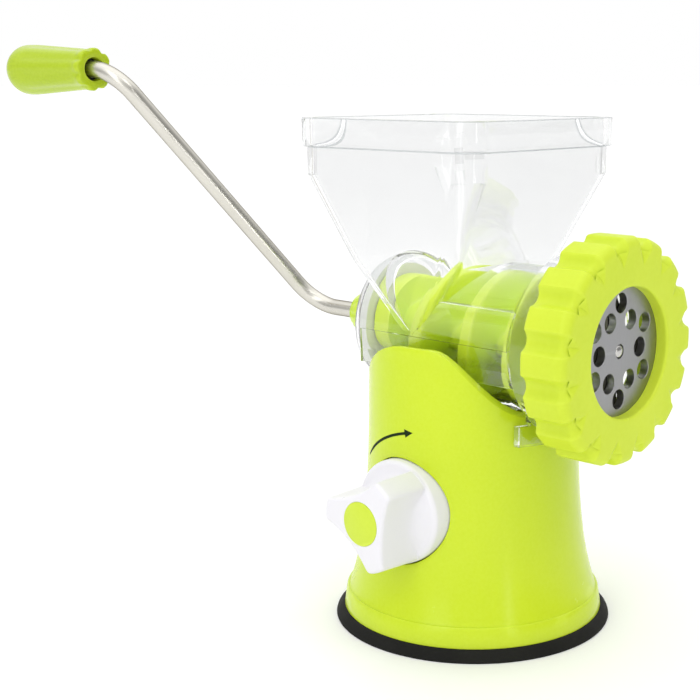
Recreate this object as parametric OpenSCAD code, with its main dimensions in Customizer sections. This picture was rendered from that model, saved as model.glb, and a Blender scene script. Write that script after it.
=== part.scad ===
// Hand crank meat grinder on a suction foot, in millimetres with +Z up.
// Origin: centre of the foot's flat underside. +X is out through the plate, -Y is the lock knob's side.

/* [Stand] */
// Outer radius of the rubber suction pad
pad_r = 65; // [64:0.5:66]
// Outer radius of the stand's band at its lower edge
band_r = 61; // [60.5:0.5:61.5]
// Outer radius that the flared stand narrows to
waist_r = 47.9; // [47.5:0.1:48.3]
// Height of the two cheeks beside the barrel
cheek_z = 134.5; // [133:0.5:136]
// Wall thickness of the stand
shell_t = 2.8; // [2.4:0.1:3]

/* [Barrel and hopper] */
// Height of the barrel's axis above the worktop
axis_z = 136.1; // [135.5:0.1:137]
// Outer radius of the barrel
barrel_r = 32.2; // [32:0.1:32.5]
// Wall thickness of the barrel and hopper
clear_t = 2.8; // [2.6:0.1:3]
// Side of the square hopper mouth, outside
hopper_w = 105.2; // [100:0.2:106]
// Height of the hopper's rim
rim_z = 230.6; // [228:0.2:235]
// Distance of the hopper's centre behind the stand's centre
hopper_back = 10.3; // [9:0.1:12]

/* [Screw and cutters] */
// Outer radius of the feed screw's flights
flight_r = 28.8; // [28:0.1:28.9]
// Advance of the feed screw's flight in one turn, under the hopper
flight_pitch = 31.7; // [28:0.1:36]
// Radius of the grinding plate
plate_r = 31.5; // [31:0.1:31.5]
// Thickness of the grinding plate
plate_t = 4; // [3:0.5:4]
// Radius of each hole in the plate
plate_hole_r = 4.25; // [3:0.25:4.25]
// Outer radius of the ring nut
nut_r = 48.5; // [47:0.5:50]
// Number of grip lobes round the ring nut
nut_lobes = 16; // [12:1:20]

/* [Crank] */
// Radius from the barrel's axis to the grip's axis
crank_r = 142.7; // [130:0.1:150]
// Lean of the crank from upright towards the knob's side, in degrees
crank_lean = 36; // [0:1:60]
// Radius of the crank's steel rod
rod_r = 3.9; // [3.8:0.1:3.9]
// Centreline radius of the crank's two bends
bend_r = 20; // [14:1:24]
// Length of the grip
grip_l = 66; // [64:1:72]

/* [Lock knob] */
// Height of the knob's axis
knob_z = 61; // [60:0.5:62]
// Radius of the knob's round flange
knob_r = 23.5; // [23:0.1:24]
// How far a quarter turn of the knob lifts the middle of the pad
suction_lift = 4; // [3:0.5:4]

/* [Hidden] */
$fn = 96;

// Colours
lime = [0.80, 0.92, 0.26];
white_plastic = [0.95, 0.95, 0.95];
black_rubber = [0.09, 0.09, 0.09];
steel = [0.72, 0.72, 0.70];
clear_plastic = [0.86, 0.90, 0.92, 0.35];
grey_plastic = [0.55, 0.56, 0.58];

// Small gaps that the fits use
run = 0.06;
face_gap = 0.1;
past = 1;

// Stand heights
pad_h = 5.2;
band_top = 14.35;
flare_r = 10.6;
flare_len = 29;
deck_z = 99;
front_rim = 103;
front_start = 14;
front_end = 50;
rear_drop = 33;
rear_reach = 47;

// Foot: clamping plate and its screws
plate_lo = 6.2;
plate_hi = 9.2;
boss_ring = 51;
screw_r = 1.45;
screw_hole = 1.5;
centre_hole = 12;

// Suction mechanism
stem_r = 3;
cam_r = 7;
cam_half = 3;
shaft_r = 4;
upright_in = 22;
upright_out = 26;
bridge_z = 36;
washer_z = 18;
washer_t = 1.2;
window_half = 12;
window_drop = 12;
cam_gap = 0.15;

// Knob stations, as distances towards -Y
pocket_floor = 38.4;
knob_back = 41.6;
flange_front = 53;
knob_face = 75.2;
square_w = 5.6;
knob_gap = 0.6;
lobe_angle = 53;
cap_r = 9.8;

// Barrel stations along X
rear_x = -49;
rear_wall_x = -46;
shoulder_x = 44.5;
flange_x0 = 52;
flange_x1 = 61;
flange_r = 38.9;
thread_r = 37.1;
neck_end = 79.6;
seat_x = 76;
bore_r = barrel_r - clear_t;
nut_front = 85.5;
nut_back = 64.5;
mouth_r = 27.75;

// Hopper stations along Z, with half sizes along X and Y and a corner radius
hopper_half = hopper_w / 2;
band_h = 12.5;
wall_in = 1.9;
funnel_top = 206;
funnel_mid = 168.3;
funnel_low = 137.5;

// Feed screw stations along X
bush_r = 12;
journal_r = 9.5;
journal_end = -62;
collar_x = -40.5;
flight_x0 = -31.5;
flight_x1 = 66;
screw_nose = 70;
crest_x = -9;
pitch_gain = 0.000125;
core_r = 12;
collar_r = 22.5;

// Crank path in its own plane: X, and W outward from the axis
elbow_x = -105;
grip_x = -150;
rod_inner_x = -50;
grip_open = 13.5;
tilt = atan2(elbow_x - grip_x, crank_r);
turn = 90 - tilt;
bend_run = bend_r * tan(turn / 2);
grip_start = grip_x - grip_open;
grip_bore = grip_l - 6;
rod_end_x = grip_start - grip_bore + 4;
pin_x = -57;

// Placing helpers
module along_x(x = 0) translate([x, 0, axis_z]) rotate([0, 90, 0]) children();
module knob_side(y = 0) translate([0, -y, knob_z]) rotate([90, 0, 0]) children();
module crank_plane() translate([0, 0, axis_z]) rotate([crank_lean, 0, 0]) children();
module tube(r_out, r_in, h) {
    difference() {
        cylinder(r = r_out, h = h);
        translate([0, 0, -past]) cylinder(r = r_in, h = h + 2 * past);
    }
}
module rounded_rect(half_x, half_y, r) {
    square([2 * half_x, 2 * half_y - 2 * r], center = true);
    square([2 * half_x - 2 * r, 2 * half_y], center = true);
    for (sx = [-1, 1], sy = [-1, 1])
        translate([sx * (half_x - r), sy * (half_y - r)]) circle(r = r);
}
module ring_of(count, r, first = 0)
    for (i = [0:count - 1]) rotate([0, 0, first + i * 360 / count]) translate([r, 0, 0]) children();

// ---- Stand ----

function smooth(t) = let (c = max(0, min(1, t))) c * c * (3 - 2 * c);
function flare(z) = waist_r + flare_r * exp(-(z - band_top) / flare_len);
function cheek_top(x) =
    x > front_start ? cheek_z - (cheek_z - front_rim) * smooth((x - front_start) / (front_end - front_start))
    : x < 0 ? cheek_z - rear_drop * pow(x / rear_reach, 2)
    : cheek_z;
flare_zs = [for (i = [0:10]) band_top + (cheek_z + past - band_top) * pow(i / 10, 1.7)];

module stand_solid() {
    rotate_extrude() polygon(concat(
        [[0, pad_h], [band_r, pad_h], [band_r - 1.3, band_top - 0.8], [band_r - 1.8, band_top]],
        [for (z = flare_zs) [flare(z), z]],
        [[0, cheek_z + past]]
    ));
}

module stand_hollow() {
    rotate_extrude() polygon(concat(
        [[0, -past], [band_r - shell_t, -past], [band_r - shell_t, pad_h]],
        [for (z = flare_zs) [flare(z) - shell_t, z]],
        [[0, cheek_z + 2 * past]]
    ));
}

module cheek_outline() {
    reach = 80;
    rotate([90, 0, 0]) linear_extrude(2 * reach, center = true) polygon(concat(
        [[-reach, 0], [reach, 0], [reach, front_rim]],
        [for (x = [front_end:-3:front_start]) [x, cheek_top(x)]],
        [for (x = [0:-4:-52]) [x, cheek_top(x)]],
        [[-reach, cheek_top(-52)]]
    ));
}

module barrel_room() {
    room = 0.7;
    along_x() rotate_extrude() polygon([
        [0, -70], [barrel_r + room, -70], [barrel_r + room, shoulder_x - room],
        [flange_r + room, flange_x0 - 1.2], [flange_r + room, 70], [0, 70]
    ]);
}

module tongue(grow = 0, low = 88, high = 100) {
    translate([4, 0, low]) linear_extrude(high - low) rounded_rect(32 + grow, 17 + grow, 3 + grow);
}

module stand_shell() {
    pocket_r = knob_r + knob_gap + 2.4;
    boss_r = 4.2;
    color(lime) difference() {
        union() {
            difference() {
                stand_solid();
                stand_hollow();
            }
            intersection() {
                stand_solid();
                union() {
                    translate([0, 0, deck_z - shell_t]) cylinder(r = waist_r - 1.4, h = shell_t);
                    knob_side(pocket_floor) cylinder(r = pocket_r, h = 20);
                    translate([0, 0, plate_hi]) ring_of(4, boss_ring, 45) cylinder(r = boss_r, h = 15);
                }
            }
        }
        knob_side(pocket_floor + shell_t) cylinder(r = knob_r + knob_gap, h = 30);
        knob_side(pocket_floor - past) cylinder(r = shaft_r + 0.6, h = 10);
        tongue(0.4, deck_z - 10, deck_z + 10);
        translate([0, 0, plate_hi - past]) ring_of(4, boss_ring, 45) cylinder(r = screw_hole, h = 13);
        barrel_room();
        difference() {
            translate([0, 0, 100]) cube([200, 200, 200], center = true);
            cheek_outline();
        }
    }
}

// ---- Suction foot ----

module suction_pad() {
    boss_r = 9;
    boss_h = 13;
    head_r = 6;
    color(black_rubber) difference() {
        rotate_extrude() polygon([
            [0, 0], [pad_r, 0], [pad_r - 0.3, 1.3], [band_r + 0.6, pad_h], [53, pad_h],
            [45, 3], [boss_r + 2, 3], [boss_r, 5], [boss_r - 0.6, boss_h], [0, boss_h]
        ]);
        translate([0, 0, 4.95]) cylinder(r = head_r + face_gap, h = 3.1);
        translate([0, 0, 5]) cylinder(r = stem_r + face_gap, h = 20);
    }
}

module base_plate() {
    outer = band_r - shell_t - 1.4;
    color(grey_plastic) difference() {
        union() {
            translate([0, 0, plate_lo]) cylinder(r = outer, h = plate_hi - plate_lo);
            translate([0, 0, pad_h]) tube(outer, 54, plate_hi - pad_h);
        }
        translate([0, 0, -past]) cylinder(r = centre_hole, h = 20);
        translate([0, 0, -past]) ring_of(4, boss_ring, 45) cylinder(r = screw_hole, h = 20);
        translate([0, 0, plate_lo]) ring_of(4, boss_ring, 45) cylinder(r1 = 3.1, r2 = screw_hole, h = 1.6);
        frame_screw_spots(plate_lo - past) cylinder(r = screw_hole, h = 10);
    }
}

module base_screws() {
    color(steel) translate([0, 0, plate_lo]) ring_of(4, boss_ring, 45) {
        cylinder(r = screw_r, h = 13.5);
        cylinder(r1 = 3, r2 = screw_r, h = 1.55);
    }
}

// ---- Suction mechanism ----

module frame_screw_spots(z)
    for (sx = [-1, 1], sy = [-1, 1]) translate([sx * 13, sy * 32, z]) children();

module cam_frame() {
    foot_h = 3;
    half_w = 11;
    top_z = knob_z + 10;
    sleeve_r = 6.5;
    color(grey_plastic) difference() {
        union() {
            translate([-17, -36, plate_hi]) cube([34, 72, foot_h]);
            for (s = [-1, 1])
                translate([-half_w, min(s * upright_in, s * upright_out), plate_hi])
                    cube([2 * half_w, upright_out - upright_in, top_z - plate_hi]);
            translate([-8, -upright_in, bridge_z]) cube([16, 2 * upright_in, 3.5]);
            translate([0, 0, bridge_z]) cylinder(r = sleeve_r, h = 5);
        }
        translate([0, 0, plate_hi - past]) cylinder(r = centre_hole, h = 10);
        translate([0, 0, bridge_z - past]) cylinder(r = stem_r + run, h = 20);
        translate([0, 0, knob_z]) rotate([90, 0, 0]) cylinder(r = shaft_r + run, h = 80, center = true);
        frame_screw_spots(plate_hi - past) cylinder(r = screw_hole, h = 10);
    }
}

module frame_screws() {
    head_z = plate_hi + 3;
    color(steel) {
        frame_screw_spots(plate_lo + 0.2) cylinder(r = screw_r, h = head_z - plate_lo);
        frame_screw_spots(head_z) cylinder(r = 2.8, h = 2);
    }
}

module pull_stem() {
    window_top = knob_z + cam_r + cam_gap;
    window_low = knob_z - window_drop;
    rim = 4;
    color(steel) {
        translate([0, 0, 5]) cylinder(r = 6, h = 3);
        translate([0, 0, 6]) cylinder(r = stem_r, h = window_low - rim - 5);
        difference() {
            translate([-window_half - 3, -cam_half, window_low - rim])
                cube([2 * window_half + 6, 2 * cam_half, window_top - window_low + 2 * rim]);
            translate([-window_half, -cam_half - past, window_low])
                cube([2 * window_half, 2 * cam_half + 2 * past, window_top - window_low]);
        }
    }
}

module stem_washer() {
    color(steel) translate([0, 0, washer_z]) tube(7.2, stem_r, washer_t);
}

// A round wire wound on a helix, as one closed tube with flat ends
module helix_wire(coil_r, wire_r, z0, z1, turns, per_turn = 10, sides = 6) {
    rings = turns * per_turn;
    points = [for (i = [0:rings], j = [0:sides - 1])
        let (a = i * 360 / per_turn, b = j * 360 / sides, r = coil_r + wire_r * cos(b))
        [r * cos(a), r * sin(a), z0 + (z1 - z0) * i / rings + wire_r * sin(b)]];
    walls = [for (i = [0:rings - 1], j = [0:sides - 1])
        let (k = (j + 1) % sides)
        [i * sides + j, i * sides + k, (i + 1) * sides + k, (i + 1) * sides + j]];
    first = [[for (j = [sides - 1:-1:0]) j]];
    last = [[for (j = [0:sides - 1]) rings * sides + j]];
    polyhedron(points = points, faces = concat(walls, first, last), convexity = 8);
}

module return_spring() {
    wire = 0.8;
    color(steel) helix_wire(5.2, wire, washer_z + washer_t + wire + face_gap, bridge_z - wire - face_gap, 5);
}

// Cam whose top rises evenly as the knob turns: each rim point comes from its height above the shaft
function cam_point(a, rate) = let (h = cam_r + rate * a * PI / 180)
    [-h * sin(a) - rate * cos(a), h * cos(a) - rate * sin(a)];

module cam_shaft() {
    rate = suction_lift / (PI / 2);
    front = 41.5;
    color(steel) {
        difference() {
            union() {
                knob_side(-upright_out - 3) cylinder(r = shaft_r, h = front + upright_out + 3);
                knob_side(front) translate([-square_w / 2, -square_w / 2, 0]) cube([square_w, square_w, 9]);
            }
            knob_side(front) cylinder(r = screw_hole, h = 10);
        }
        knob_side(-cam_half) linear_extrude(2 * cam_half) polygon(concat(
            [for (a = [0:7.5:90]) cam_point(a, rate)],
            [for (a = [135:15:345]) [-cam_r * sin(a), cam_r * cos(a)]]
        ));
    }
}

module shaft_clip() {
    color(steel) knob_side(-upright_out - 1.4) tube(6.5, shaft_r, 1.1);
}

module trilobe(r, waist, tip_half) {
    c = cos(60 - asin(tip_half / r));
    far = (r * r - waist * waist) / (2 * (r * c - waist));
    difference() {
        circle(r = r);
        for (i = [0:2]) rotate(lobe_angle + 60 + 120 * i) translate([far, 0]) circle(r = far - waist);
    }
}

module lock_knob() {
    edge = 1.6;
    color(white_plastic) difference() {
        union() {
            knob_side(knob_back) cylinder(r = knob_r, h = flange_front - edge - knob_back);
            knob_side(flange_front - edge) cylinder(r1 = knob_r, r2 = knob_r - edge, h = edge);
            knob_side(knob_back + 9) linear_extrude(knob_face - knob_back - 9) trilobe(22.3, 12.7, 5);
        }
        knob_side(knob_back - past) tube(knob_r - 2.6, 9, 9 + past);
        knob_side(knob_back - past) translate([-square_w / 2 - 0.05, -square_w / 2 - 0.05, 0])
            cube([square_w + 0.1, square_w + 0.1, 12]);
        knob_side(knob_back) cylinder(r = screw_hole + 0.2, h = 25);
        knob_side(60) cylinder(r = 4.2, h = 20);
        knob_side(knob_face - 2) cylinder(r = cap_r + face_gap, h = 4);
    }
}

module knob_screw() {
    color(steel) {
        knob_side(44) cylinder(r = screw_r, h = 16.5);
        knob_side(60) cylinder(r = 3.4, h = 2.6);
    }
}

module knob_cap() {
    color(lime) {
        knob_side(knob_face - 2) cylinder(r = cap_r, h = 2);
        knob_side(knob_face - 6) cylinder(r = 4.15, h = 4.5);
    }
}

// ---- Barrel and hopper ----

module barrel_outer() {
    along_x() rotate_extrude() polygon([
        [0, rear_x], [27.2, rear_x], [28.4, rear_x + 0.6], [30.6, rear_x + 3], [31.8, rear_x + 6],
        [barrel_r, rear_x + 9], [barrel_r, shoulder_x], [flange_r, flange_x0], [flange_r, flange_x1],
        [thread_r, flange_x1], [thread_r, neck_end], [0, neck_end]
    ]);
}

module barrel_inner() {
    along_x() rotate_extrude() polygon([
        [0, rear_x - past], [bush_r, rear_x - past], [bush_r, rear_wall_x], [bore_r - 2, rear_wall_x],
        [bore_r, rear_wall_x + 3], [bore_r, seat_x],
        [plate_r + run, seat_x], [plate_r + run, neck_end + past], [0, neck_end + past]
    ]);
}

module slab(z, half_x, half_y, r)
    translate([-hopper_back, 0, z]) linear_extrude(0.2) rounded_rect(half_x, half_y, r, $fn = 32);

// Funnel between the square mouth and the barrel, drawn in by t for its inside
module funnel(t = 0) {
    hull() {
        slab(funnel_top, hopper_half - wall_in - t, hopper_half - wall_in - t, 11 - t);
        slab(funnel_mid, 31.4 - 1.1 * t, 40.6 - t, 8 - t);
        slab(funnel_low, 4.4 - 0.9 * t, 32 - t, 1.2);
    }
}

module hopper_part(low, high, half, r)
    translate([-hopper_back, 0, low]) linear_extrude(high - low) rounded_rect(half, half, r);

// Flat side casings up to the flange: a skirt below the axis and, above it, a ledge that starts at the funnel
module saddle_walls() {
    skirt_low = 120.8;
    skirt_out = barrel_r + 1.2;
    ledge_out = barrel_r + 0.3;
    ledge_t = 6;
    ledge_top = 153;
    front = flange_x0 + 0.5;
    for (s = [-1, 1]) {
        translate([-40, s > 0 ? skirt_out - 2.6 : -skirt_out, skirt_low])
            cube([front + 40, 2.6, axis_z - skirt_low]);
        translate([0, s > 0 ? ledge_out : ledge_t - ledge_out, 0]) rotate([90, 0, 0]) linear_extrude(ledge_t)
            polygon([
                [-10, axis_z - 2], [-8, axis_z + 1.4], [5.5, ledge_top],
                [front, ledge_top], [front, axis_z - 2]
            ]);
    }
}

module barrel_foot() {
    difference() {
        union() {
            translate([4, 0, deck_z]) linear_extrude(12) rounded_rect(36, 21, 4);
            tongue();
        }
        translate([4, 0, 85]) linear_extrude(20) rounded_rect(32 - clear_t, 17 - clear_t, 1);
        translate([4, 0, deck_z + 3]) linear_extrude(10) rounded_rect(36 - clear_t, 21 - clear_t, 1.5);
    }
}

// Curved tab outside the stand's front rim, hung from the neck
module front_tab() {
    inner = 49.3;
    intersection() {
        union() {
            translate([0, 0, 93]) tube(inner + 2.8, inner, 9);
            translate([0, 0, 101]) tube(inner + 2.8, inner, 10);
        }
        union() {
            translate([30, -24, 90]) cube([30, 48, 12]);
            translate([30, -19, 90]) cube([30, 38, 24]);
        }
    }
}

module barrel_hopper() {
    color(clear_plastic) difference() {
        union() {
            hopper_part(rim_z - band_h, rim_z, hopper_half, 12);
            hopper_part(funnel_top, rim_z - band_h, hopper_half - wall_in, 11);
            funnel();
            barrel_outer();
            saddle_walls();
            barrel_foot();
            front_tab();
        }
        hopper_part(funnel_top, rim_z + past, hopper_half - wall_in - clear_t, 11 - clear_t);
        funnel(clear_t);
        barrel_inner();
        key_hole(1.4);
    }
}

module key_hole(r) translate([0, 0, plate_r - 0.1 - 0.001]) along_x(seat_x - 4) cylinder(r = r, h = 7.5);

module plate_key() {
    color(steel) key_hole(1.35);
}

module rear_bush() {
    color(white_plastic) {
        along_x(rear_x - 1.6) tube(bush_r + 2.4, journal_r + run, 1.6);
        along_x(rear_x) tube(bush_r, journal_r + run, rear_wall_x - rear_x);
    }
}

module rear_seal() {
    thick = collar_x - rear_wall_x - 0.6;
    color(white_plastic) along_x(rear_wall_x) tube(bore_r - 2.5, journal_r + 0.4, thick);
}

// ---- Feed screw and cutters ----

// Turns made by the flight up to a station along X: the pitch shortens towards the plate
function turns(x) = let (d = x - crest_x) d / flight_pitch + pitch_gain * d * d;

// Angles round the screw's section from its crest, and the share of the flight's height at each
section_angles = concat(
    [180, -145, -115], [for (a = [-85:14:-29]) a], [0], [for (a = [29:14:85]) a], [115, 145]
);
function crest(a) = smooth((85 - abs(a)) / 56);

// Screw body: one section carried along a left-hand helix, lower by the collar and fading out at the nose
module flight_body() {
    around = len(section_angles);
    along = 52;
    span = flight_x1 - flight_x0;
    near_side = -90;
    rear_height = 0.6;
    rear_rise = 17;
    nose_fade = 8;
    points = [for (i = [0:along], a = section_angles)
        let (
            x = span * i / along,
            rise = rear_height + (1 - rear_height) * smooth(x / rear_rise),
            fade = smooth((span - x) / nose_fade),
            r = core_r + (flight_r - core_r) * rise * fade * crest(a),
            b = near_side + a - 360 * turns(flight_x0 + x)
        )
        [r * cos(b), r * sin(b), x]];
    walls = [for (i = [0:along - 1], j = [0:around - 1])
        let (k = (j + 1) % around)
        [i * around + j, (i + 1) * around + j, (i + 1) * around + k, i * around + k]];
    first = [[for (j = [0:around - 1]) j]];
    last = [[for (j = [around - 1:-1:0]) along * around + j]];
    polyhedron(points = points, faces = concat(walls, first, last), convexity = 10);
}

module auger() {
    color(lime) difference() {
        union() {
            along_x(flight_x0) flight_body();
            along_x(collar_x) cylinder(r = collar_r, h = flight_x0 - collar_x);
            along_x(journal_end) cylinder(r = journal_r, h = collar_x - journal_end);
            along_x(flight_x1) cylinder(r = 9, h = screw_nose - flight_x1);
        }
        along_x(journal_end - past) cylinder(r = rod_r + 0.05, h = rod_inner_x - journal_end + past);
        along_x(screw_nose - 12) cylinder(r = 4.05, h = 13);
        drive_pin_at(1.3);
    }
}

module blade_stud() {
    square = 7;
    color(steel) {
        along_x(screw_nose - 11) cylinder(r = 4, h = 11.2);
        along_x(screw_nose) translate([-square / 2, -square / 2, 0]) cube([square, square, 5.9]);
        along_x(screw_nose + 5) cylinder(r = 3, h = 5.6);
    }
}

module cutter_blade() {
    wing = 26.5;
    color(steel) along_x(seat_x - 3.6) linear_extrude(3.55) difference() {
        union() {
            circle(r = 9.5);
            for (i = [0:3]) rotate(90 * i) polygon([
                [0, -5.5], [wing - 8, -5], [wing - 1, -1], [wing, 4], [wing - 4, 4.5], [0, 3]
            ]);
        }
        square(7.1, center = true);
    }
}

module grinding_plate() {
    inner_ring = 14.8;
    outer_ring = 20.6;
    color(steel) difference() {
        along_x(seat_x + 0.02) cylinder(r = plate_r, h = plate_t);
        along_x(seat_x - past) {
            ring_of(6, inner_ring, 90) cylinder(r = plate_hole_r, h = 10);
            ring_of(6, outer_ring, 120) cylinder(r = plate_hole_r, h = 10);
            cylinder(r = 3 + run, h = 10);
        }
        translate([0, 0, plate_r - 0.1]) along_x(seat_x - past) cylinder(r = 1.7, h = 10);
    }
}

module ring_nut() {
    chamfer = 4;
    notch_r = 5;
    color(lime) difference() {
        along_x() rotate_extrude() polygon([
            [thread_r + run, nut_back], [nut_r - 1.2, nut_back], [nut_r, nut_back + 1.2],
            [nut_r, nut_front - chamfer], [nut_r - chamfer, nut_front], [mouth_r + 0.8, nut_front],
            [mouth_r, nut_front - 0.8], [mouth_r, seat_x + plate_t + 0.08],
            [thread_r + run, seat_x + plate_t + 0.08]
        ]);
        along_x(nut_back - past) ring_of(nut_lobes, nut_r + 2, 180 / nut_lobes)
            cylinder(r = notch_r, h = nut_front - nut_back + 2 * past);
    }
}

// ---- Crank ----

module drive_pin_at(r) crank_plane() translate([pin_x, 0, 0]) cylinder(r = r, h = 24, center = true);

module drive_pin() {
    color(steel) drive_pin_at(1.25);
}

module crank_hub() {
    back_x = -74;
    front_x = -51;
    ribs = 10;
    color(lime) difference() {
        along_x() rotate_extrude() polygon([
            [rod_r + 0.05, back_x], [6.8, back_x], [8.6, back_x + 1.8], [12.6, back_x + 9],
            [13.8, back_x + 14], [13.8, front_x], [journal_r + 0.05, front_x],
            [journal_r + 0.05, journal_end - 0.1], [rod_r + 0.05, journal_end - 0.1]
        ]);
        along_x(back_x - past) ring_of(ribs, 15.6, 18) cylinder(r = 3.2, h = front_x - back_x + 2 * past);
        along_x(back_x) ring_of(ribs, 8.4, 18) rotate([0, 29, 0]) cylinder(r = 1.6, h = 12);
        drive_pin_at(1.3);
    }
}

module rod_run(x0, w0, length, lean)
    translate([x0, 0, w0]) rotate([0, lean, 0]) cylinder(r = rod_r, h = length);

// A bend is a hair thinner than the straight runs and enters them a little, so that they join cleanly
module rod_bend(x, w, from) {
    enter = 1.5;
    translate([x, 0, w]) rotate([90, 0, 0]) rotate([0, 0, from - enter])
        rotate_extrude(angle = turn + 2 * enter) translate([bend_r, 0]) circle(r = rod_r - 0.05);
}

module crank_rod() {
    arm = norm([elbow_x - grip_x, crank_r]);
    start_x = elbow_x - bend_run * sin(tilt);
    start_w = bend_run * cos(tilt);
    color(steel) difference() {
        crank_plane() {
            rod_run(elbow_x + bend_run, 0, rod_inner_x - elbow_x - bend_run, 90);
            rod_bend(elbow_x + bend_run, bend_r, -90 - turn);
            rod_run(start_x, start_w, arm - 2 * bend_run, -tilt);
            rod_bend(grip_x - bend_run, crank_r - bend_r, 90 - turn);
            rod_run(rod_end_x, crank_r, grip_x - bend_run - rod_end_x, 90);
        }
        drive_pin_at(1.3);
    }
}

module on_grip(s = 0) crank_plane() translate([grip_start - s, 0, crank_r]) rotate([0, -90, 0]) children();

module grip_clip() {
    color(steel) on_grip(grip_bore - 7) tube(5.2, rod_r, 1.2);
}

module grip() {
    bore = 5.3;
    dome = 12;
    flutes = 8;
    color(lime) difference() {
        on_grip() rotate_extrude() polygon(concat(
            [[bore, 0], [9.2, 0], [9.9, 0.7], [9.9, 3.4], [9.6, 4.4], [9.5, 7], [10.6, 26], [dome, 48]],
            [for (a = [0:10:90]) [dome * cos(a), grip_l - dome + dome * sin(a)]],
            [[0, grip_bore], [bore, grip_bore]]
        ));
        on_grip(7) ring_of(flutes, 40, 22.5) rotate([0, 3.4, 0]) cylinder(r = 31, h = 42);
        on_grip(-past) ring_of(flutes, 11.7, 22.5) cylinder(r = 2.5, h = 4.6);
    }
}

module grip_bush() {
    color(grey_plastic) on_grip(5) tube(5.3, rod_r + run, grip_bore - 13);
}

stand_shell();
suction_pad();
base_plate();
base_screws();
cam_frame();
frame_screws();
pull_stem();
stem_washer();
return_spring();
cam_shaft();
lock_knob();
knob_screw();
knob_cap();
shaft_clip();
barrel_hopper();
rear_bush();
rear_seal();
plate_key();
auger();
blade_stud();
cutter_blade();
grinding_plate();
ring_nut();
crank_hub();
crank_rod();
drive_pin();
grip_clip();
grip();
grip_bush();
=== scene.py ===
import math

import bmesh
import bpy
import numpy as np
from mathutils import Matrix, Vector


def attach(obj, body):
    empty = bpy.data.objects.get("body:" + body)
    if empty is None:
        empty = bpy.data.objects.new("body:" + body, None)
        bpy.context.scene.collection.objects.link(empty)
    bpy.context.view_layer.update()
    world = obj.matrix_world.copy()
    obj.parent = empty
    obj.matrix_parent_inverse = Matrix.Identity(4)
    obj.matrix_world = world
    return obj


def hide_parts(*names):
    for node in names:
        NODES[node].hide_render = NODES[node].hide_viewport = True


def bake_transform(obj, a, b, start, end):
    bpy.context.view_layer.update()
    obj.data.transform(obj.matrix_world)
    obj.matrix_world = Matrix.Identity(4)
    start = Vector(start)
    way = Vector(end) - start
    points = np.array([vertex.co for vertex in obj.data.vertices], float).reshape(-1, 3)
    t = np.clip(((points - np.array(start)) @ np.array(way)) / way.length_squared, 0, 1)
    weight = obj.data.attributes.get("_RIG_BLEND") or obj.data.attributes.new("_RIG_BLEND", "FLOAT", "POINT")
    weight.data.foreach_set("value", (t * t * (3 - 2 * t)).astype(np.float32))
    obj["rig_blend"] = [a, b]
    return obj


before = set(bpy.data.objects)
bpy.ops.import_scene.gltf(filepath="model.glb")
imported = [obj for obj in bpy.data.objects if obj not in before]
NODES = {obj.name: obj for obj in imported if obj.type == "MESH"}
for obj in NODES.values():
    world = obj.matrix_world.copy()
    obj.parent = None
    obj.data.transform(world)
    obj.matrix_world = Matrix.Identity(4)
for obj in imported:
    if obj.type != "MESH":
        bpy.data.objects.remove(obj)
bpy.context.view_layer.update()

MM = 0.001
AXIS_Z = 136.1            # height of the barrel's axis
KNOB_Z = 61.0             # height of the lock knob's axis
RIM_BAND_Z = 212.0        # the hopper's rim band lies above this height
CRANK_ARM = 142.7         # how far the grip's axis lies from the barrel's
LEAN = math.radians(36)   # how far the crank is turned towards the knob's side
BOUNCES_INSIDE = 4.5      # how often light may turn inside the clear plastic
GREEN = (0.60, 0.75, 0.018)


# ---------------------------------------------------------------- small helpers

def smooth(t):
    t = np.clip(t, 0.0, 1.0)
    return t * t * (3 - 2 * t)


def barrel_point(x, r, a):
    """A point at radius r and angle a round the barrel's axis, a = 0 straight down, at station x."""
    return x + 0 * a, r * np.sin(a), AXIS_Z - r * np.cos(a)


def knob_point(depth, r, a):
    """A point round the knob's axis: depth in front of the stand's centre, a = 0 along +X."""
    return r * np.cos(a), -(depth + 0 * a), KNOB_Z + r * np.sin(a)


def crank_point(x, w, v=0.0):
    """A point in the crank's leaning plane: w outwards along the arm, v square to the plane."""
    return x, -w * math.sin(LEAN) + v * math.cos(LEAN), AXIS_Z + w * math.cos(LEAN) + v * math.sin(LEAN)


def finish_mesh(obj, sharp_deg):
    """Shades smooth, with edges sharper than sharp_deg kept crisp."""
    bm = bmesh.new()
    bm.from_mesh(obj.data)
    bmesh.ops.recalc_face_normals(bm, faces=bm.faces)
    limit = math.radians(sharp_deg)
    for f in bm.faces:
        f.smooth = True
    for e in bm.edges:
        e.smooth = e.is_manifold and e.calc_face_angle(0.0) < limit
    bm.to_mesh(obj.data)
    bm.free()
    return obj


def new_object(name, verts, faces, sharp_deg=35):
    mesh = bpy.data.meshes.new(name)
    mesh.from_pydata((np.asarray(verts, float) * MM).tolist(), [], [list(map(int, f)) for f in faces])
    mesh.validate()
    obj = bpy.data.objects.new(name, mesh)
    bpy.context.scene.collection.objects.link(obj)
    return finish_mesh(obj, sharp_deg)


def loft(name, rings, looped=False, caps=True, sharp_deg=35):
    """A skin over closed rings with the same number of points each. looped joins the last to the first."""
    rings = np.asarray(rings, float)
    n, m = rings.shape[:2]
    verts = rings.reshape(-1, 3)
    spans = n if looped else n - 1
    i, j = np.meshgrid(np.arange(spans), np.arange(m), indexing="ij")
    i2, j2 = (i + 1) % n, (j + 1) % m
    faces = np.stack([i * m + j, i * m + j2, i2 * m + j2, i2 * m + j], -1).reshape(-1, 4).tolist()
    if caps and not looped:
        faces.append(list(range(m - 1, -1, -1)))
        faces.append(list(range((n - 1) * m, n * m)))
    return new_object(name, verts, faces, sharp_deg)


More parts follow.
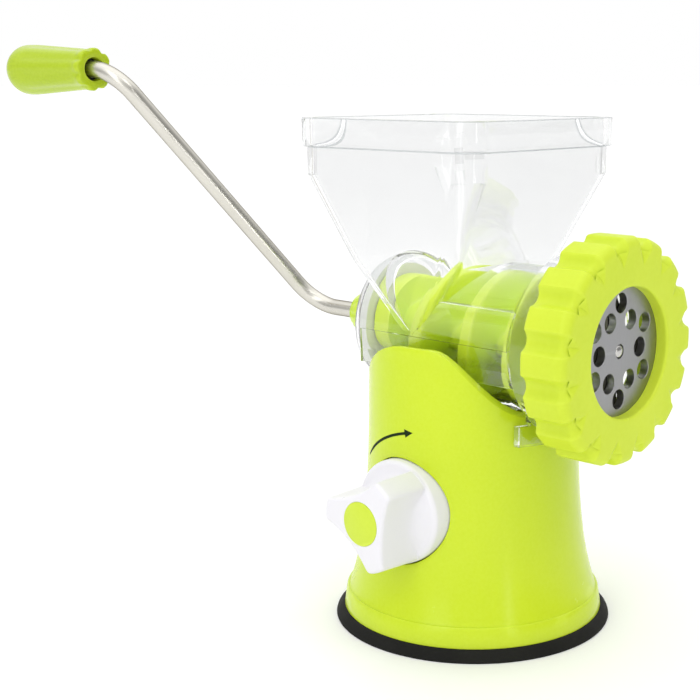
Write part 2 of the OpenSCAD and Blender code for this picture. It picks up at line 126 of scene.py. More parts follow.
def place(obj, body, material, slot, *nodes):
    obj.data.materials.clear()
    obj.data.materials.append(material)
    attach(obj, body)
    if nodes:
        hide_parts(*nodes)
    return obj


def softened(name, node, bevel_mm, sharp_deg=30, segments=2, bevel_deg=35, edge_slots=0, above=None):
    """A copy of a CAD node's shape with its seams welded and its sharp edges rounded. The rounded edges'
    faces carry material index edge_slots. With above, only level edges above that height are rounded, to
    their full width."""
    obj = bpy.data.objects.new(name, NODES[node].data.copy())
    obj.data.name = name
    bpy.context.scene.collection.objects.link(obj)
    bm = bmesh.new()
    bm.from_mesh(obj.data)
    bmesh.ops.remove_doubles(bm, verts=bm.verts, dist=2e-6)
    bmesh.ops.dissolve_degenerate(bm, edges=bm.edges, dist=1e-6)
    if above is not None:
        weight = bm.edges.layers.float.new("bevel_weight_edge")
        limit = math.radians(bevel_deg)
        for e in bm.edges:
            low, high = sorted(v.co.z for v in e.verts)
            level = low > above * MM and high - low < 0.02 * e.calc_length()
            e[weight] = 1.0 if level and e.calc_face_angle(0.0) > limit else 0.0
    bm.to_mesh(obj.data)
    bm.free()
    for a in [a.name for a in obj.data.attributes if a.name == "custom_normal"]:
        obj.data.attributes.remove(obj.data.attributes[a])
    if bevel_mm:
        mod = obj.modifiers.new("soft", "BEVEL")
        mod.width = bevel_mm * MM
        mod.segments = segments
        mod.limit_method = "ANGLE" if above is None else "WEIGHT"
        mod.angle_limit = math.radians(bevel_deg)
        mod.use_clamp_overlap = above is None
        mod.miter_outer = "MITER_ARC" if above is None else "MITER_SHARP"
        for _ in range(edge_slots + 1 if edge_slots else 0):
            obj.data.materials.append(None)
        mod.material = edge_slots if edge_slots else -1
        bpy.context.view_layer.update()
        done = bpy.data.meshes.new_from_object(obj.evaluated_get(bpy.context.evaluated_depsgraph_get()))
        obj.modifiers.clear()
        obj.data = done
    return finish_mesh(obj, sharp_deg)


# ---------------------------------------------------------------- materials

def noise(nt, coord, scale, detail=3.0, rough=0.5, stretch=None):
    if stretch:
        m = nt.nodes.new("ShaderNodeMapping")
        m.inputs["Scale"].default_value = stretch
        nt.links.new(coord, m.inputs["Vector"])
        coord = m.outputs["Vector"]
    n = nt.nodes.new("ShaderNodeTexNoise")
    n.inputs["Scale"].default_value = scale
    n.inputs["Detail"].default_value = detail
    n.inputs["Roughness"].default_value = rough
    nt.links.new(coord, n.inputs["Vector"])
    return n.outputs["Fac"]


def spread(nt, value, low, high, lo_in=0.3, hi_in=0.7):
    r = nt.nodes.new("ShaderNodeMapRange")
    r.inputs["From Min"].default_value = lo_in
    r.inputs["From Max"].default_value = hi_in
    r.inputs["To Min"].default_value = low
    r.inputs["To Max"].default_value = high
    nt.links.new(value, r.inputs["Value"])
    return r.outputs["Result"]


def worked(nt, operation, a, b=None):
    m = nt.nodes.new("ShaderNodeMath")
    m.operation = operation
    for socket, value in zip(m.inputs, (a, b)):
        if isinstance(value, float):
            socket.default_value = value
        elif value is not None:
            nt.links.new(value, socket)
    return m.outputs["Value"]


def mixed(nt, fac, a, b, blend="MIX"):
    m = nt.nodes.new("ShaderNodeMix")
    m.data_type = "RGBA"
    m.blend_type = blend
    sockets = [s for s in m.inputs if s.type == "RGBA"]
    for socket, value in zip(sockets, (a, b)):
        if isinstance(value, tuple):
            socket.default_value = (*value[:3], 1)
        else:
            nt.links.new(value, socket)
    if isinstance(fac, float):
        m.inputs["Factor"].default_value = fac
    else:
        nt.links.new(fac, m.inputs["Factor"])
    return [s for s in m.outputs if s.type == "RGBA"][0]


def start_material(name):
    mat = bpy.data.materials.new(name)
    mat.use_nodes = True
    nt = mat.node_tree
    shader = nt.nodes["Principled BSDF"]
    coord = nt.nodes.new("ShaderNodeTexCoord").outputs["Object"]
    return mat, nt, shader, coord


def add_bump(nt, shader, height, strength, distance_mm):
    b = nt.nodes.new("ShaderNodeBump")
    b.inputs["Strength"].default_value = strength
    b.inputs["Distance"].default_value = distance_mm * MM
    nt.links.new(height, b.inputs["Height"])
    nt.links.new(b.outputs["Normal"], shader.inputs["Normal"])


def painted_edge_highlight(nt, colour, lift, amount):
    """Painted highlight: convex edges made a little paler, read from the mesh's own curvature."""
    geometry = nt.nodes.new("ShaderNodeNewGeometry")
    fac = spread(nt, geometry.outputs["Pointiness"], 0.0, amount, 0.515, 0.60)
    return mixed(nt, fac, colour, lift)


def moulded(name, colour, shade, lift, rough=(0.22, 0.34), grain=700, bump=0.05, flow=(9, 9, 3), coat=0.25,
            subsurface=0.0, gloss=0.5, crease_shade=None):
    """Injection-moulded plastic: cloudy flow marks, fine grain, and a painted highlight that makes convex
    edges paler. Its last argument is the colour of painted shade in the dips.
    """
    mat, nt, shader, coord = start_material(name)
    cloud = spread(nt, noise(nt, coord, 1.0, 4.0, 0.55, tuple(v * 3.0 for v in flow)), 0.0, 1.0)
    base = mixed(nt, cloud, shade, colour)
    fine = spread(nt, noise(nt, coord, grain, 2.0), 0.0, 0.10)
    base = mixed(nt, fine, base, lift)
    # painted highlight: convex edges turn towards the lift colour
    base = painted_edge_highlight(nt, base, lift, 0.35)
    # painted shade: dips in the mesh's curvature darken towards the given shade colour
    if crease_shade:
        bend = nt.nodes.new("ShaderNodeNewGeometry").outputs["Pointiness"]
        base = mixed(nt, spread(nt, bend, 0.35, 0.0, 0.44, 0.497), base, crease_shade)
    nt.links.new(base, shader.inputs["Base Color"])
    smudge = noise(nt, coord, 38.0, 5.0, 0.65)
    nt.links.new(spread(nt, smudge, rough[0], rough[1]), shader.inputs["Roughness"])
    add_bump(nt, shader, noise(nt, coord, grain, 3.0, 0.6), bump, 0.25)
    shader.inputs["IOR"].default_value = 1.49
    shader.inputs["Specular IOR Level"].default_value = gloss
    shader.inputs["Coat Weight"].default_value = coat
    shader.inputs["Coat Roughness"].default_value = 0.12
    if subsurface:
        shader.inputs["Subsurface Weight"].default_value = subsurface
        shader.inputs["Subsurface Radius"].default_value = (0.6, 1.0, 0.15)
        shader.inputs["Subsurface Scale"].default_value = 0.002
    return mat


def towards_rim(nt, low, high):
    """0 where a surface faces the eye, rising to 1 where it turns away."""
    return spread(nt, nt.nodes.new("ShaderNodeLayerWeight").outputs["Facing"], 0.0, 1.0, low, high)


def metal(name, colour, shade, rough, stretch, scale=60, bump=0.08, highlight_share=0.5, grazing=(1.0, 1.0, 1.0)):
    """Metal with a directional grain: stretch is small along the grain and large across it. grazing is the
    reflection's tint where the surface turns away."""
    mat, nt, shader, coord = start_material(name)
    lines = noise(nt, coord, scale, 5.0, 0.6, stretch)
    clouds = noise(nt, coord, 55.0, 3.0)
    base = mixed(nt, spread(nt, lines, 0.0, 1.0), shade, colour)
    base = mixed(nt, spread(nt, clouds, 0.0, 0.3), base, shade)
    # painted highlight: edges made paler than the steel's own colour, read from curvature
    base = painted_edge_highlight(nt, base, tuple(min(1.0, c * 1.3) for c in colour), highlight_share)
    nt.links.new(base, shader.inputs["Base Color"])
    shader.inputs["Metallic"].default_value = 1.0
    shader.inputs["Specular Tint"].default_value = (*grazing, 1)
    nt.links.new(spread(nt, lines, rough[0], rough[1]), shader.inputs["Roughness"])
    add_bump(nt, shader, lines, bump, 0.08)
    return mat


def clear(name, tint, hopper_shade_tint, corner_shade_tint, rim, lamp_tint, rough=(0.0, 0.03), ripple=0.04, ior=1.49):
    """Clear moulded plastic with faint flow ripples. It is greyer where it turns away, and painted shade
    makes it greyer in the hopper, most towards the +X +Y corner. Lamps reach through it, and light that has
    bounced about inside it for long leaves it straight on."""
    mat, nt, shader, coord = start_material(name)
    shader.inputs["Transmission Weight"].default_value = 1.0
    shader.inputs["IOR"].default_value = ior
    place_xyz = nt.nodes.new("ShaderNodeSeparateXYZ")
    nt.links.new(coord, place_xyz.inputs["Vector"])
    x, y, z = place_xyz.outputs
    cloud = spread(nt, noise(nt, coord, 22.0, 3.0), 0.0, 1.0)
    body = mixed(nt, cloud, tint, tuple(min(1.0, c * 1.012) for c in tint))
    # painted shade: above about 150 mm the tint darkens, most towards the +X +Y corner
    to_corner = spread(nt, worked(nt, "ADD", x, y), 0.0, 1.0, -0.030, 0.030)
    hopper = mixed(nt, to_corner, hopper_shade_tint, corner_shade_tint)
    body = mixed(nt, spread(nt, z, 0.0, 1.0, 0.150, 0.175), body, hopper)
    nt.links.new(mixed(nt, towards_rim(nt, 0.55, 1.0), body, rim), shader.inputs["Base Color"])
    nt.links.new(spread(nt, noise(nt, coord, 60.0, 4.0, 0.6), rough[0], rough[1]), shader.inputs["Roughness"])
    add_bump(nt, shader, noise(nt, coord, 26.0, 2.0, 0.4, (1.0, 1.0, 0.45)), ripple, 1.2)
    path = nt.nodes.new("ShaderNodeLightPath")
    open_air = nt.nodes.new("ShaderNodeBsdfTransparent")
    open_air.inputs["Color"].default_value = (*lamp_tint, 1)
    trapped = worked(nt, "GREATER_THAN", path.outputs["Ray Depth"], BOUNCES_INSIDE)
    share = worked(nt, "MAXIMUM", path.outputs["Is Shadow Ray"], trapped)
    mix = nt.nodes.new("ShaderNodeMixShader")
    nt.links.new(share, mix.inputs[0])
    nt.links.new(shader.outputs["BSDF"], mix.inputs[1])
    nt.links.new(open_air.outputs["BSDF"], mix.inputs[2])
    nt.links.new(mix.outputs["Shader"], nt.nodes["Material Output"].inputs["Surface"])
    return mat


# pale green for the fine grain and for the painted edge highlight
PALE_GRAIN_AND_EDGE_HIGHLIGHT = (0.76, 0.92, 0.10)
STAND_GREEN = moulded("stand_green", GREEN, (0.56, 0.72, 0.014), PALE_GRAIN_AND_EDGE_HIGHLIGHT, (0.18, 0.28), coat=0.06,
                      subsurface=0.05, gloss=0.32)
# the nut's last colour is painted shade in the dips between its lobes
NUT_GREEN = moulded("nut_green", (0.64, 0.77, 0.044), (0.59, 0.73, 0.036), PALE_GRAIN_AND_EDGE_HIGHLIGHT, (0.38, 0.52), 520, 0.10,
                    coat=0.0, gloss=0.26, crease_shade=(0.34, 0.46, 0.012))
HUB_GREEN = moulded("hub_green", (0.60, 0.78, 0.02), (0.54, 0.74, 0.016), PALE_GRAIN_AND_EDGE_HIGHLIGHT, (0.3, 0.42), coat=0.1)
GRIP_GREEN = moulded("grip_green", (0.445, 0.585, 0.012), (0.38, 0.52, 0.008), PALE_GRAIN_AND_EDGE_HIGHLIGHT, (0.16, 0.28),
                     flow=(3, 9, 9), coat=0.06, gloss=0.28)
SCREW_GREEN = moulded("screw_green", (0.70, 0.86, 0.04), (0.64, 0.82, 0.03), PALE_GRAIN_AND_EDGE_HIGHLIGHT, (0.24, 0.36),
                      flow=(4, 9, 9))
CAP_GREEN = moulded("cap_green", (0.62, 0.77, 0.035), (0.58, 0.73, 0.03), PALE_GRAIN_AND_EDGE_HIGHLIGHT, (0.35, 0.5), coat=0.0)
WHITE = moulded("knob_white", (0.83, 0.82, 0.86), (0.81, 0.80, 0.84), (0.88, 0.87, 0.90), (0.26, 0.38),
                coat=0.0, gloss=0.3)
RUBBER = moulded("pad_rubber", (0.012, 0.012, 0.010), (0.007, 0.007, 0.006), (0.03, 0.03, 0.03), (0.6, 0.8),
                 900, 0.2, coat=0.0, gloss=0.15)
DARK = moulded("dark_plastic", (0.035, 0.037, 0.036), (0.025, 0.026, 0.026), (0.08, 0.08, 0.08), (0.45, 0.6),
               coat=0.0)
GREY = moulded("grey_plastic", (0.16, 0.165, 0.17), (0.13, 0.133, 0.14), (0.3, 0.3, 0.3), (0.45, 0.6),
               coat=0.0)
SILICONE = moulded("seal_white", (0.78, 0.78, 0.76), (0.72, 0.72, 0.70), (0.85, 0.85, 0.84), (0.4, 0.55),
                   coat=0.0)
INK = moulded("mark_ink", (0.010, 0.025, 0.004), (0.006, 0.018, 0.003), (0.02, 0.04, 0.01), (0.6, 0.7),
              coat=0.0, gloss=0.1)
CLEAR = clear("clear_plastic", tint=(0.956, 0.960, 0.959), hopper_shade_tint=(0.930, 0.933, 0.934),
              corner_shade_tint=(0.905, 0.909, 0.909), rim=(0.66, 0.69, 0.70), lamp_tint=(0.955, 0.96, 0.96))
# painted shade: a grey clear material for the rounded edges of the hopper's rim band
CLEAR_EDGE_SHADE = clear("clear_edges_painted_shade", tint=(0.50, 0.53, 0.54), hopper_shade_tint=(0.46, 0.49, 0.50),
                   corner_shade_tint=(0.40, 0.43, 0.44), rim=(0.32, 0.35, 0.36), lamp_tint=(0.93, 0.94, 0.94),
                   rough=(0.15, 0.25))
STEEL = metal("plain_steel", (0.62, 0.61, 0.59), (0.5, 0.49, 0.47), (0.16, 0.3), (1, 1, 1))
PLATE = metal("plate_steel", (0.33, 0.33, 0.34), (0.27, 0.27, 0.28), (0.32, 0.48), (1, 12, 1), 90, 0.12)
BLADE = metal("blade_steel", (0.11, 0.11, 0.085), (0.07, 0.07, 0.05), (0.22, 0.36), (1, 12, 1), 90, 0.12)
ROD = metal("rod_steel", (0.70, 0.68, 0.62), (0.64, 0.62, 0.56), (0.24, 0.32), (1, 1, 1), 30, 0.015,
            highlight_share=0.0, grazing=(0.22, 0.20, 0.17))


# ---------------------------------------------------------------- stand and foot

place(softened("stand_body", "stand_shell", 0.7), "stand", STAND_GREEN, "green_gloss", "stand_shell")


def revolved(name, outline, looped):
    """The solid that an outline of (radius, height) points sweeps round the stand's axis."""
    a = np.linspace(0, 2 * math.pi, 192, endpoint=False)
    rings = [np.stack([r * np.cos(a), r * np.sin(a), z + 0 * a], -1) for r, z in outline]
    return loft(name, rings, looped=looped, sharp_deg=40)


def rubber_foot():
    """The pad's rim and web stay with the stand. Its middle stretches upwards with the stem in it."""
    web = [(11.05, 0), (30, 0), (50, 0), (64.5, 0), (64.85, 0.12), (64.95, 0.4), (64.72, 1.2), (64.45, 1.75),
           (62.2, 4.6), (61.75, 5.0), (61.2, 5.2), (53.3, 5.2), (52.5, 5.0), (45.4, 3.05), (44.6, 3.0),
           (11.05, 3.0)]
    place(revolved("suction_foot", web, True), "stand", RUBBER, "black_rubber", "suction_pad")
    boss = [(0.02, 0), (5, 0), (10.95, 0), (10.95, 1.5), (10.95, 3.0), (9.0, 5.0), (8.5, 12.6), (8.1, 13.0),
            (3.1, 13.0), (3.1, 8.05), (6.1, 8.05), (6.1, 4.95), (0.02, 4.95)]
    middle = revolved("foot_middle", boss, False)
    middle.data.materials.append(RUBBER)
    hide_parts("suction_pad")
    stays, rises = 0.5 * MM, 4.5 * MM
    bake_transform(middle, "stand", "pull_stem", start=(0, 0, stays), end=(0, 0, rises))


def coil():
    """The return spring: its lowest turn rises with the stem's washer, its highest stays put."""
    spring = softened("return_coil", "return_spring", 0)
    spring.data.materials.clear()
    spring.data.materials.append(STEEL)
    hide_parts("return_spring")
    washer_top, bracket = 19.3 * MM, 35.9 * MM
    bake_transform(spring, "pull_stem", "stand", start=(0, 0, washer_top), end=(0, 0, bracket))


rubber_foot()
coil()


def shell_radius(z):
    return 47.9 + 10.6 * np.exp(-(z - 14.35) / 29)


def printed_arrow():
    """The curved turning mark above the knob, as a thin film on the stand's skin."""
    centre_x, centre_z, radius = 14.6, 38.7, 59.2
    tail, neck, tip = math.radians(135.7), math.radians(102.6), math.radians(98.4)
    film, line, head = 0.08, 0.62, 1.9
    path = np.linspace(tail, neck, 30)
    outline = [(a, line * (0.55 + 0.45 * smooth((tail - a) / 0.12))) for a in path]
    outline += [(neck, head), (tip, 0.02)]
    verts, faces = [], []
    for lift in (-0.15, film):
        for a, half in outline:
            for side in (-1, 1):
                r = radius + side * half
                x, z = centre_x + r * math.cos(a), centre_z + r * math.sin(a)
                skin = float(shell_radius(z)) + lift
                verts.append((x, -math.sqrt(skin * skin - x * x), z))
    n = len(outline)
    for k in range(n - 1):
        a, b = 2 * k, 2 * k + 2
        faces += [[a, a + 1, b + 1, b], [2 * n + a, 2 * n + b, 2 * n + b + 1, 2 * n + a + 1],
                  [a, b, 2 * n + b, 2 * n + a], [a + 1, 2 * n + a + 1, 2 * n + b + 1, b + 1]]
    faces += [[0, 2 * n, 2 * n + 1, 1], [2 * n - 2, 2 * n - 1, 4 * n - 1, 4 * n - 2]]
    return new_object("turning_mark", verts, faces)


mark = printed_arrow()
mark.data.materials.append(INK)
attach(mark, "stand")


# ---------------------------------------------------------------- lock knob

def trilobe_radius(a):
    """Radius of the knob's three-lobed outline at angle a."""
    tip, waist, tip_half = 22.3, 12.7, 5.0
    reach = math.cos(math.radians(60) - math.asin(tip_half / tip))
    far = (tip * tip - waist * waist) / (2 * (tip * reach - waist))
    phi = (a - math.radians(53) + math.pi / 3) % (2 * math.pi / 3) - math.pi / 3
    off = math.pi / 3 - np.abs(phi)
    inside = (far - waist) ** 2 - (far * np.sin(off)) ** 2
    cut = np.where(inside > 0, far * np.cos(off) - np.sqrt(np.maximum(inside, 0)), tip + 3)
    soft = 0.9
    both = 0.5 * (tip + cut - np.sqrt((tip - cut) ** 2 + soft ** 2))
    return both + 0.06


def knob_mesh():
    a = np.linspace(0, 2 * math.pi, 240, endpoint=False)
    lobe = trilobe_radius(a)
    flat = np.ones_like(a)
    face, round_face, disc_edge, disc_front = 75.2, 2.0, 21.0, 53.0
    rings = []

    def ring(depth, r):
        rings.append(np.stack(knob_point(depth * flat, r * flat, a), -1))

    ring(73.2, 4.3)
    ring(73.2, 9.88)
    ring(75.0, 9.88)
    ring(75.2, 10.1)
    for share in (0.35, 0.7):
        ring(face, 10.1 + (lobe - round_face - 10.1) * share)
    for t in np.linspace(0, math.pi / 2, 7):
        ring(face - round_face * (1 - math.cos(t)), lobe - round_face * (1 - math.sin(t)))
    root = lobe + 0.7
    width = np.maximum(disc_edge - root, 0.3)
    height = np.minimum(width * 1.1, 7.0)
    for share in (0.25, 0.5, 0.75):
        depth = face - round_face + (disc_front + height - face + round_face) * share
        ring(depth, lobe + 0.7 * share)
    for t in np.linspace(0, math.pi / 2, 8):
        ring(disc_front + height * (1 - math.sin(t)), root + width * (1 - math.cos(t)))
    for t in np.linspace(0.2, math.pi / 2, 6):
        ring(disc_front - 2.5 * (1 - math.cos(t)), disc_edge + 2.5 * math.sin(t))
    ring(42.2, 23.5)
    ring(41.6, 22.9)
    ring(41.6, 20.9)
    ring(50.6, 20.9)
    ring(50.6, 9.0)
    ring(41.9, 9.0)
    ring(41.9, 4.3)
    return loft("lock_knob_body", rings, looped=True, sharp_deg=40)


place(knob_mesh(), "knob", WHITE, "white_gloss", "lock_knob")
place(softened("knob_disc", "knob_cap", 0.15), "knob", CAP_GREEN, "green_cap", "knob_cap")


# ---------------------------------------------------------------- clear barrel and hopper

def clear_body():
    """The clear moulding, whose edges take a greyer material of their own: painted shade for the dark lines
    where the light leaves the plastic.
    """
    obj = softened("hopper_and_barrel", "barrel_hopper", 0.4, edge_slots=1, above=RIM_BAND_Z)
    index = np.zeros(len(obj.data.polygons), dtype=np.int32)
    obj.data.polygons.foreach_get("material_index", index)
    place(obj, "stand", CLEAR, "clear_plastic", "barrel_hopper")
    obj.data.materials.append(CLEAR_EDGE_SHADE)
    obj.data.polygons.foreach_set("material_index", index)


clear_body()


# ---------------------------------------------------------------- feed screw

def auger_mesh():
    around, along = 96, 210
    collar_back, collar_r, x0, x1 = -40.5, 22.5, -31.5, 66.0
    a = np.linspace(0, 2 * math.pi, around, endpoint=False)
    rings = []

    def ring(x, r):
        rings.append(np.stack(barrel_point(x, r * np.ones_like(a), a), -1))

    ring(-50, 3.95)
    ring(-62, 3.95)
    ring(-62, 9.1)
    ring(-61.6, 9.5)
    ring(collar_back, 9.5)
    ring(collar_back, collar_r - 0.8)
    for t in np.linspace(0.25, 1, 4):
        ring(collar_back + 0.8 * t, collar_r - 0.8 + 0.8 * math.sin(t * math.pi / 2))
    ring(x0 - 0.6, collar_r)
    ring(x0 - 0.05, collar_r - 0.4)
    for x in np.linspace(x0, x1, along):
        d = x + 9
        turns = d / 31.7 + 0.000125 * d * d
        from_crest = (a + math.pi / 2 + 2 * math.pi * turns + math.pi) % (2 * math.pi) - math.pi
        crest = smooth((85 - np.degrees(np.abs(from_crest))) / 50)
        fade = float(smooth((x1 - x) / 8)) * (0.6 + 0.4 * float(smooth((x - x0) / 17)))
        r = 12.0 + 16.8 * fade * crest
        rings.append(np.stack(barrel_point(x, r, a), -1))
    ring(66.02, 9.0)
    ring(69.7, 9.0)
    ring(70, 8.7)
    ring(70, 4.05)
    ring(58, 4.05)
    return loft("feed_screw", rings, sharp_deg=50)


def stud_mesh():
    """The steel stud: a square shank through the blade, then a round journal with a domed tip."""
    a = np.linspace(0, 2 * math.pi, 64, endpoint=False)
    square = np.minimum(3.45 / np.maximum(np.abs(np.cos(a)), np.abs(np.sin(a))), 4.3)
    round_tip, tip_x, dome = 2.95, 80.5, 1.7
    rings = []

    def ring(x, r):
        rings.append(np.stack(barrel_point(x, r * np.ones_like(a), a), -1))

    ring(58.1, 3.9)
    ring(70.2, 3.9)
    ring(70.3, square - 0.2)
    ring(70.5, square)
    ring(75.6, square)
    ring(75.8, square - 0.2)
    ring(75.85, round_tip)
    for t in np.linspace(0, 1, 9):
        ring(tip_x - dome * (1 - math.sin(t * math.pi / 2)), round_tip * max(math.cos(t * math.pi / 2), 0.02))
    return loft("stud", rings, sharp_deg=50)


place(auger_mesh(), "drive", SCREW_GREEN, "green_screw", "auger")
place(softened("cutting_blade", "cutter_blade", 0.25), "drive", BLADE, "plate_steel", "cutter_blade")
place(stud_mesh(), "drive", STEEL, "plain_steel", "blade_stud")
place(softened("mincing_plate", "grinding_plate", 0.25, segments=1), "plate", PLATE, "plate_steel",
      "grinding_plate")


# ---------------------------------------------------------------- ring nut

def nut_mesh():
    lobes, per_lobe = 16, 30
    count = lobes * per_lobe
    a = np.linspace(0, 2 * math.pi, count, endpoint=False)
    pitch = 2 * math.pi / lobes
    off = a % pitch - pitch / 2
    arc = np.abs(off) * 48.5
    raw = np.sqrt(np.maximum(25 - np.minimum(arc, 4.9) ** 2, 0)) - 2 - np.maximum(arc - 4.9, 0) * 3
    notch = 0.5 * (raw + np.sqrt(raw * raw + 0.16))
    notch = np.maximum(notch - 0.012, 0)
    back, front = 64.5, 85.5
    rings = []

    def ring(x, r, share=1.0, groove=0.0):
        rings.append(np.stack(barrel_point(x - groove * notch, r - share * notch, a), -1))

    ring(back, 37.16, 0)
    ring(back, 42.0, 0)
    ring(back, 46.6)
    for t in np.linspace(0, math.pi / 2, 5):
        ring(back + 1.2 * (1 - math.cos(t)), 47.3 + 1.2 * math.sin(t))
    for x in np.linspace(back + 3, front - 6.0, 6):
        ring(x, 48.5, 1.0 + 0.1 * (x - back) / 18)
    for t in np.linspace(0, math.pi / 2, 9):
        ring(front - 4.2 * (1 - math.sin(t)), 48.5 - 4.6 * (1 - math.cos(t)), 1.1 - 0.1 * math.sin(t),
             0.55 * math.sin(t))
    fold_end, fold_start, fold_depth = 36.8, 43.6, 2.3
    for r in (42.8, 41.9, 41.0, 40.1, 39.2, 38.4, 37.6, 36.8, 34.5, 30.5):
        near_rim = max((r - fold_end) / (fold_start - fold_end), 0.0)
        fold = fold_depth * near_rim ** 1.2 * np.maximum(1 - arc / (0.4 + 4.6 * near_rim), 0)
        rings.append(np.stack(barrel_point(front - fold, r * np.ones_like(a), a), -1))
    for t in np.linspace(0, math.pi / 2, 6):
        ring(front - 1.1 * (1 - math.cos(t)), 27.75 + 1.1 * (1 - math.sin(t)), 0)
    ring(82.0, 27.75, 0)
    ring(80.1, 27.75, 0)
    ring(80.1, 37.16, 0)
    ring(72.0, 37.16, 0)
    return loft("ring_nut_body", rings, looped=True, sharp_deg=27)


place(nut_mesh(), "ring_nut", NUT_GREEN, "green_nut", "ring_nut")


# ---------------------------------------------------------------- crank

def crank_path():
    """Points along the centre line of the rod in the crank's plane."""
    elbow, grip, arm, bend = -105.0, -150.0, CRANK_ARM, 20.0
    tilt = math.atan2(elbow - grip, arm)
    turn = math.pi / 2 - tilt
    run = bend * math.tan(turn / 2)
    pts = [(-50, 0), (-62, 0), (-74, 0), (elbow + run + 1, 0)]
    for t in np.linspace(0, turn, 20):
        b = -math.pi / 2 - t
        pts.append((elbow + run + bend * math.cos(b), bend + bend * math.sin(b)))
    low = pts[-1]
    b = math.pi / 2 - turn
    high = (grip - run + bend * math.cos(b), arm - bend + bend * math.sin(b))
    for t in np.linspace(0.02, 0.98, 24):
        pts.append((low[0] + (high[0] - low[0]) * t, low[1] + (high[1] - low[1]) * t))
    for t in np.linspace(0, turn, 20):
        b = math.pi / 2 - turn + t
        pts.append((grip - run + bend * math.cos(b), arm - bend + bend * math.sin(b)))
    pts += [(-168, arm), (-192, arm), (-219.5, arm)]
    return np.array(pts, float)


def rod_mesh():
    path = crank_path()
    direction = np.gradient(path, axis=0)
    direction /= np.linalg.norm(direction, axis=1)[:, None]
    around = 36
    a = np.linspace(0, 2 * math.pi, around, endpoint=False)
    rings = []

    def ring(p, d, r):
        across = (-d[1], d[0])
        out = r * np.cos(a)
        x, y, z = crank_point(p[0] + across[0] * out, p[1] + across[1] * out, r * np.sin(a))
        rings.append(np.stack([x, y, z], -1))

    ring(path[0], direction[0], 3.4)
    ring(path[0] + direction[0] * 0.5, direction[0], 3.9)
    for p, d in zip(path[1:-1], direction[1:-1]):
        ring(p, d, 3.9)
    ring(path[-1] - direction[-1] * 0.5, direction[-1], 3.9)
    ring(path[-1], direction[-1], 3.4)
    return loft("crank_arm", rings, sharp_deg=40)


place(rod_mesh(), "drive", ROD, "rod_steel", "crank_rod")
place(softened("crank_hub_body", "crank_hub", 0.5), "drive", HUB_GREEN, "green_hub", "crank_hub")


def grip_mesh():
    """Bullet-shaped grip: scalloped collar, eight shallow flutes, domed end and a bore for the rod."""
    around = 192
    a = np.linspace(0, 2 * math.pi, around, endpoint=False)
    wave = 0.5 + 0.5 * np.cos(8 * (a - math.radians(22.5)))     # 1 in the middle of a flute
    start, arm, bore, dome, length = -163.5, CRANK_ARM, 5.3, 12.0, 66.0
    rings = []

    def ring(s, r, flute=0.0, scallop=0.0):
        rr = r - flute * wave ** 1.2 - scallop * wave ** 2.2
        x, y, z = crank_point((start - s) * np.ones_like(a), arm + rr * np.cos(a), rr * np.sin(a))
        rings.append(np.stack([x, y, z], -1))

    ring(60, bore)
    ring(1.0, bore)
    ring(0.25, bore + 0.25)
    ring(0.0, bore + 0.9)
    ring(0.0, 7.6, 0, 0.2)
    ring(0.0, 8.9, 0, 0.7)
    ring(0.2, 9.5, 0, 1.0)
    ring(0.8, 9.9, 0, 1.2)
    ring(3.2, 9.9, 0, 1.15)
    ring(4.0, 9.75, 0.1, 0.9)
    ring(4.9, 9.6, 0.2, 0.5)
    ring(6.0, 9.52, 0.3, 0.2)
    ring(7.5, 9.53, 0.5)
    for s in np.linspace(10, 46, 13):
        ring(s, 9.5 + (dome - 9.5) * (s - 7) / 41, 0.62 * float(smooth((54 - s) / 10)))
    ring(48, dome - 0.03, 0.36)
    ring(50.5, dome, 0.16)
    ring(52.5, dome, 0.04)
    for t in np.linspace(0, 86, 15):
        c, h = math.cos(math.radians(t)), math.sin(math.radians(t))
        ring(length - dome + dome * h, dome * c)
    rings.append(rings[-1] * 0.08 + np.array(crank_point(start - length, arm)) * 0.92)
    return loft("grip_body", rings, sharp_deg=45)


place(grip_mesh(), "grip", GRIP_GREEN, "green_grip", "grip")


# ---------------------------------------------------------------- pieces that keep their CAD shapes

for node, material in {
    "base_plate": GREY, "cam_frame": GREY, "rear_bush": WHITE, "rear_seal": SILICONE, "grip_bush": DARK,
    "base_screws": STEEL, "frame_screws": STEEL, "pull_stem": STEEL, "stem_washer": STEEL,
    "cam_shaft": STEEL, "knob_screw": STEEL, "shaft_clip": STEEL, "plate_key": STEEL, "drive_pin": STEEL,
    "grip_clip": STEEL,
}.items():
    NODES[node].data.materials.clear()
    NODES[node].data.materials.append(material)


# ---------------------------------------------------------------- floor, light and camera

def floor_material():
    mat, nt, shader, coord = start_material("floor_pale")
    cloud = spread(nt, noise(nt, coord, 3.0, 3.0), 0.0, 1.0)
    nt.links.new(mixed(nt, cloud, (0.93, 0.93, 0.93), (0.95, 0.95, 0.95)), shader.inputs["Base Color"])
    nt.links.new(spread(nt, noise(nt, coord, 40.0), 0.6, 0.8), shader.inputs["Roughness"])
    shader.inputs["Specular IOR Level"].default_value = 0.2
    return mat


def floor_mesh():
    """A wide flat floor."""
    around = 64
    a = np.linspace(0, 2 * math.pi, around, endpoint=False)
    sunk, radii = -0.02, (5, 400, 2000, 10000, 60000)
    rings = [np.stack([r * np.cos(a), r * np.sin(a), sunk + 0 * a], -1) for r in radii]
    verts = np.asarray(rings).reshape(-1, 3)
    faces = [[i * around + j, i * around + (j + 1) % around, (i + 1) * around + (j + 1) % around,
              (i + 1) * around + j] for i in range(len(rings) - 1) for j in range(around)]
    faces.append(list(range(around)))
    return new_object("floor", verts, faces)


floor = floor_mesh()
floor.data.materials.append(floor_material())

YAW = math.radians(41.73)   # how far the camera is turned from looking along +Y


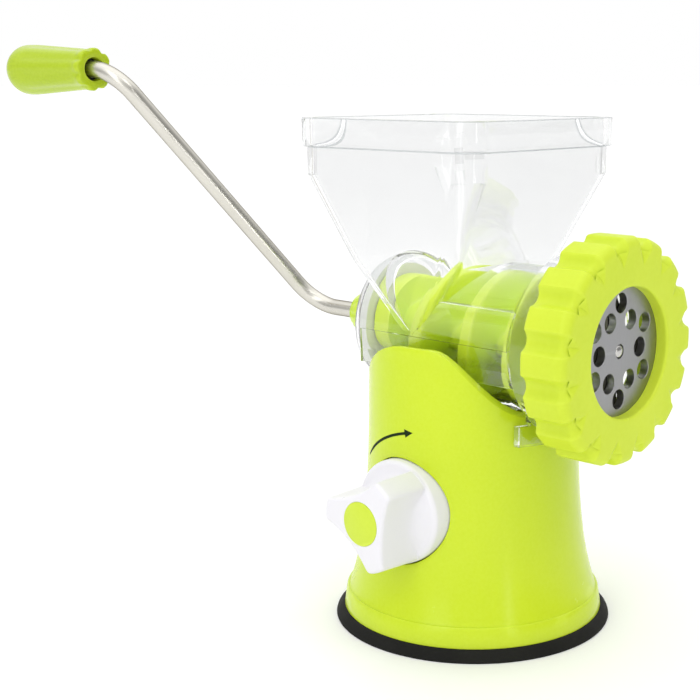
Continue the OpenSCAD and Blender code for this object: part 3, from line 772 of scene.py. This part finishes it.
def studio_world():
    """A white tent, brighter overhead and behind the object, dimmer behind the viewer."""
    world = bpy.data.worlds.new("studio")
    bpy.context.scene.world = world
    world.use_nodes = True
    wt = world.node_tree
    background = wt.nodes["Background"]
    direction = wt.nodes.new("ShaderNodeTexCoord").outputs["Generated"]

    def along(vector, stops):
        """Light by how far a direction points along vector: stops are (dot product, strength)."""
        d = wt.nodes.new("ShaderNodeVectorMath")
        d.operation = "DOT_PRODUCT"
        wt.links.new(direction, d.inputs[0])
        d.inputs[1].default_value = vector
        r = wt.nodes.new("ShaderNodeMapRange")
        r.interpolation_type = "SMOOTHSTEP"
        for key, value in zip(("From Min", "To Min", "From Max", "To Max"), (*stops[0], *stops[1])):
            r.inputs[key].default_value = value
        wt.links.new(d.outputs["Value"], r.inputs["Value"])
        return r.outputs["Result"]

    behind = along((-math.sin(YAW), math.cos(YAW), 0), ((-0.9, 0.74), (0.75, 0.95)))
    overhead = along((0, 0, 1), ((0.25, 0.0), (1.0, 0.70)))
    right = along((math.cos(YAW - 0.3), math.sin(YAW - 0.3), 0), ((0.3, 0.0), (0.95, -0.52)))
    left = along((-math.cos(YAW), -math.sin(YAW), 0), ((0.3, 0.0), (0.95, -0.24)))
    tent = worked(wt, "ADD", worked(wt, "ADD", behind, overhead), worked(wt, "ADD", right, left))
    seen = wt.nodes.new("ShaderNodeLightPath").outputs["Is Camera Ray"]
    strength = worked(wt, "MAXIMUM", tent, seen)
    wt.links.new(strength, background.inputs["Strength"])
    background.inputs["Color"].default_value = (1, 1, 1, 1)


studio_world()


def softbox(name, azimuth, elevation, distance, size, power, target=(0, 0, 0.12)):
    data = bpy.data.lights.new(name, "AREA")
    data.shape = "RECTANGLE"
    data.size, data.size_y = size
    data.energy = power
    lamp = bpy.data.objects.new(name, data)
    a, e = math.radians(azimuth), math.radians(elevation)
    back = Vector((math.sin(a) * math.cos(e), -math.cos(a) * math.cos(e), math.sin(e)))
    lamp.location = Vector(target) + back * distance
    lamp.rotation_mode = "QUATERNION"
    lamp.rotation_quaternion = (-back).to_track_quat("-Z", "Y")
    bpy.context.scene.collection.objects.link(lamp)
    return lamp


softbox("key", 8, 28, 1.3, (0.55, 1.3), 2.7)
softbox("side", 70, 58, 0.8, (0.3, 0.3), 0.40, target=(0.085, 0, 0.18))
softbox("streak", 73, 8, 1.2, (0.06, 0.8), 0.9, target=(0, 0, 0.08))

EYE = (0.3899, -0.4619, 0.2462)
LOOKS_DOWN = 13.74        # degrees
camera = bpy.data.cameras.new("camera")
camera.sensor_width = 36.0
camera.lens = 68.94
camera.shift_x = -0.1258
camera.shift_y = 0.0839
camera.clip_start, camera.clip_end = 0.02, 100.0
eye = bpy.data.objects.new("camera", camera)
eye.location = EYE
eye.rotation_euler = (math.radians(90 - LOOKS_DOWN), 0, YAW)
bpy.context.scene.collection.objects.link(eye)
bpy.context.scene.camera = eye

view = bpy.context.scene.view_settings
view.view_transform = "Standard"
view.look = "None"
